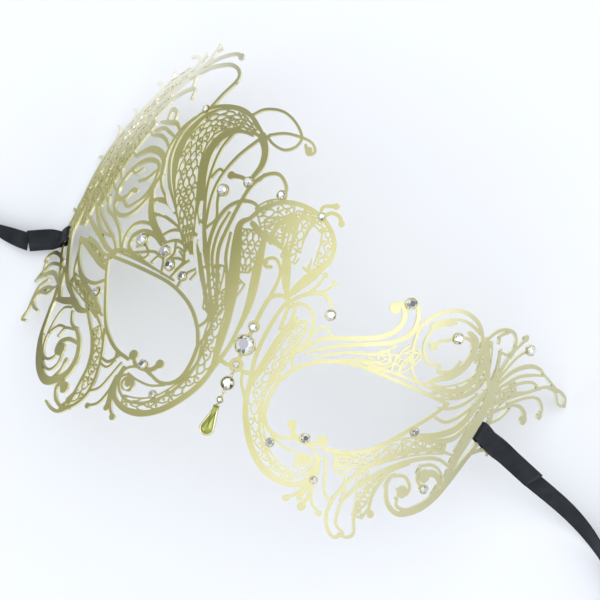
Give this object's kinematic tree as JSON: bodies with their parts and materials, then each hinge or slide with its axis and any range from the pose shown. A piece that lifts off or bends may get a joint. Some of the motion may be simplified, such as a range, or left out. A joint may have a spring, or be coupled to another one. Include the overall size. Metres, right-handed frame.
{
  "type": "venetian masquerade mask",
  "caption": "Bent metal filigree eye mask with set stones, a hinged drop hanging at the bridge and flat ribbon ties at its sides.",
  "frame": {"origin": "middle of the metal mask's own box, at the surface that it lies on", "axes": "+X across the mask towards the wing with the plume's longer fan, +Y up the mask, +Z out of its front"},
  "size_m": [0.3149, 0.1247, 0.0654],
  "materials": {
    "gold_sheet": "polished, pale olive gold",
    "gold_trim": "polished",
    "crystal": "faceted, clear",
    "drop_enamel": "glossy, olive gold",
    "ribbon": "satin"
  },
  "bodies": {
    "mask": {"filigree_sheet": "gold_sheet", "centre_cup": "gold_trim", "centre_stone": "crystal", "wide_stones": "crystal", "middle_stones": "crystal", "narrow_stones": "crystal", "small_stones": "crystal", "right_fold": "ribbon", "left_fold": "ribbon", "right_tie": "ribbon", "left_tie": "ribbon", "right_roll": "ribbon", "left_roll": "ribbon"},
    "top_ring": {"top_ring": "gold_trim"},
    "link": {"link_cup": "gold_trim", "link_stone": "crystal"},
    "drop": {"bead_cup": "gold_trim", "bead_stone": "crystal", "drop_frame": "gold_trim", "drop_stone": "drop_enamel"}
  },
  "joints": [
    {"name": "ring_swing", "type": "hinge", "parent": "mask", "child": "top_ring", "pos_m": [-0.00194, -0.027, 0.06295], "axis": [0.9985, 0.0045, 0.0539], "range_deg": [-60, 60]},
    {"name": "link_sway", "type": "hinge", "parent": "top_ring", "child": "link", "pos_m": [-0.00194, -0.028, 0.06303], "axis": [-0.0541, 0.0836, 0.995], "range_deg": [-20, 20]},
    {"name": "drop_swing", "type": "hinge", "parent": "link", "child": "drop", "pos_m": [-0.00194, -0.03373, 0.06351], "axis": [0.9985, 0.0045, 0.0539], "range_deg": [-60, 60]}
  ]
}
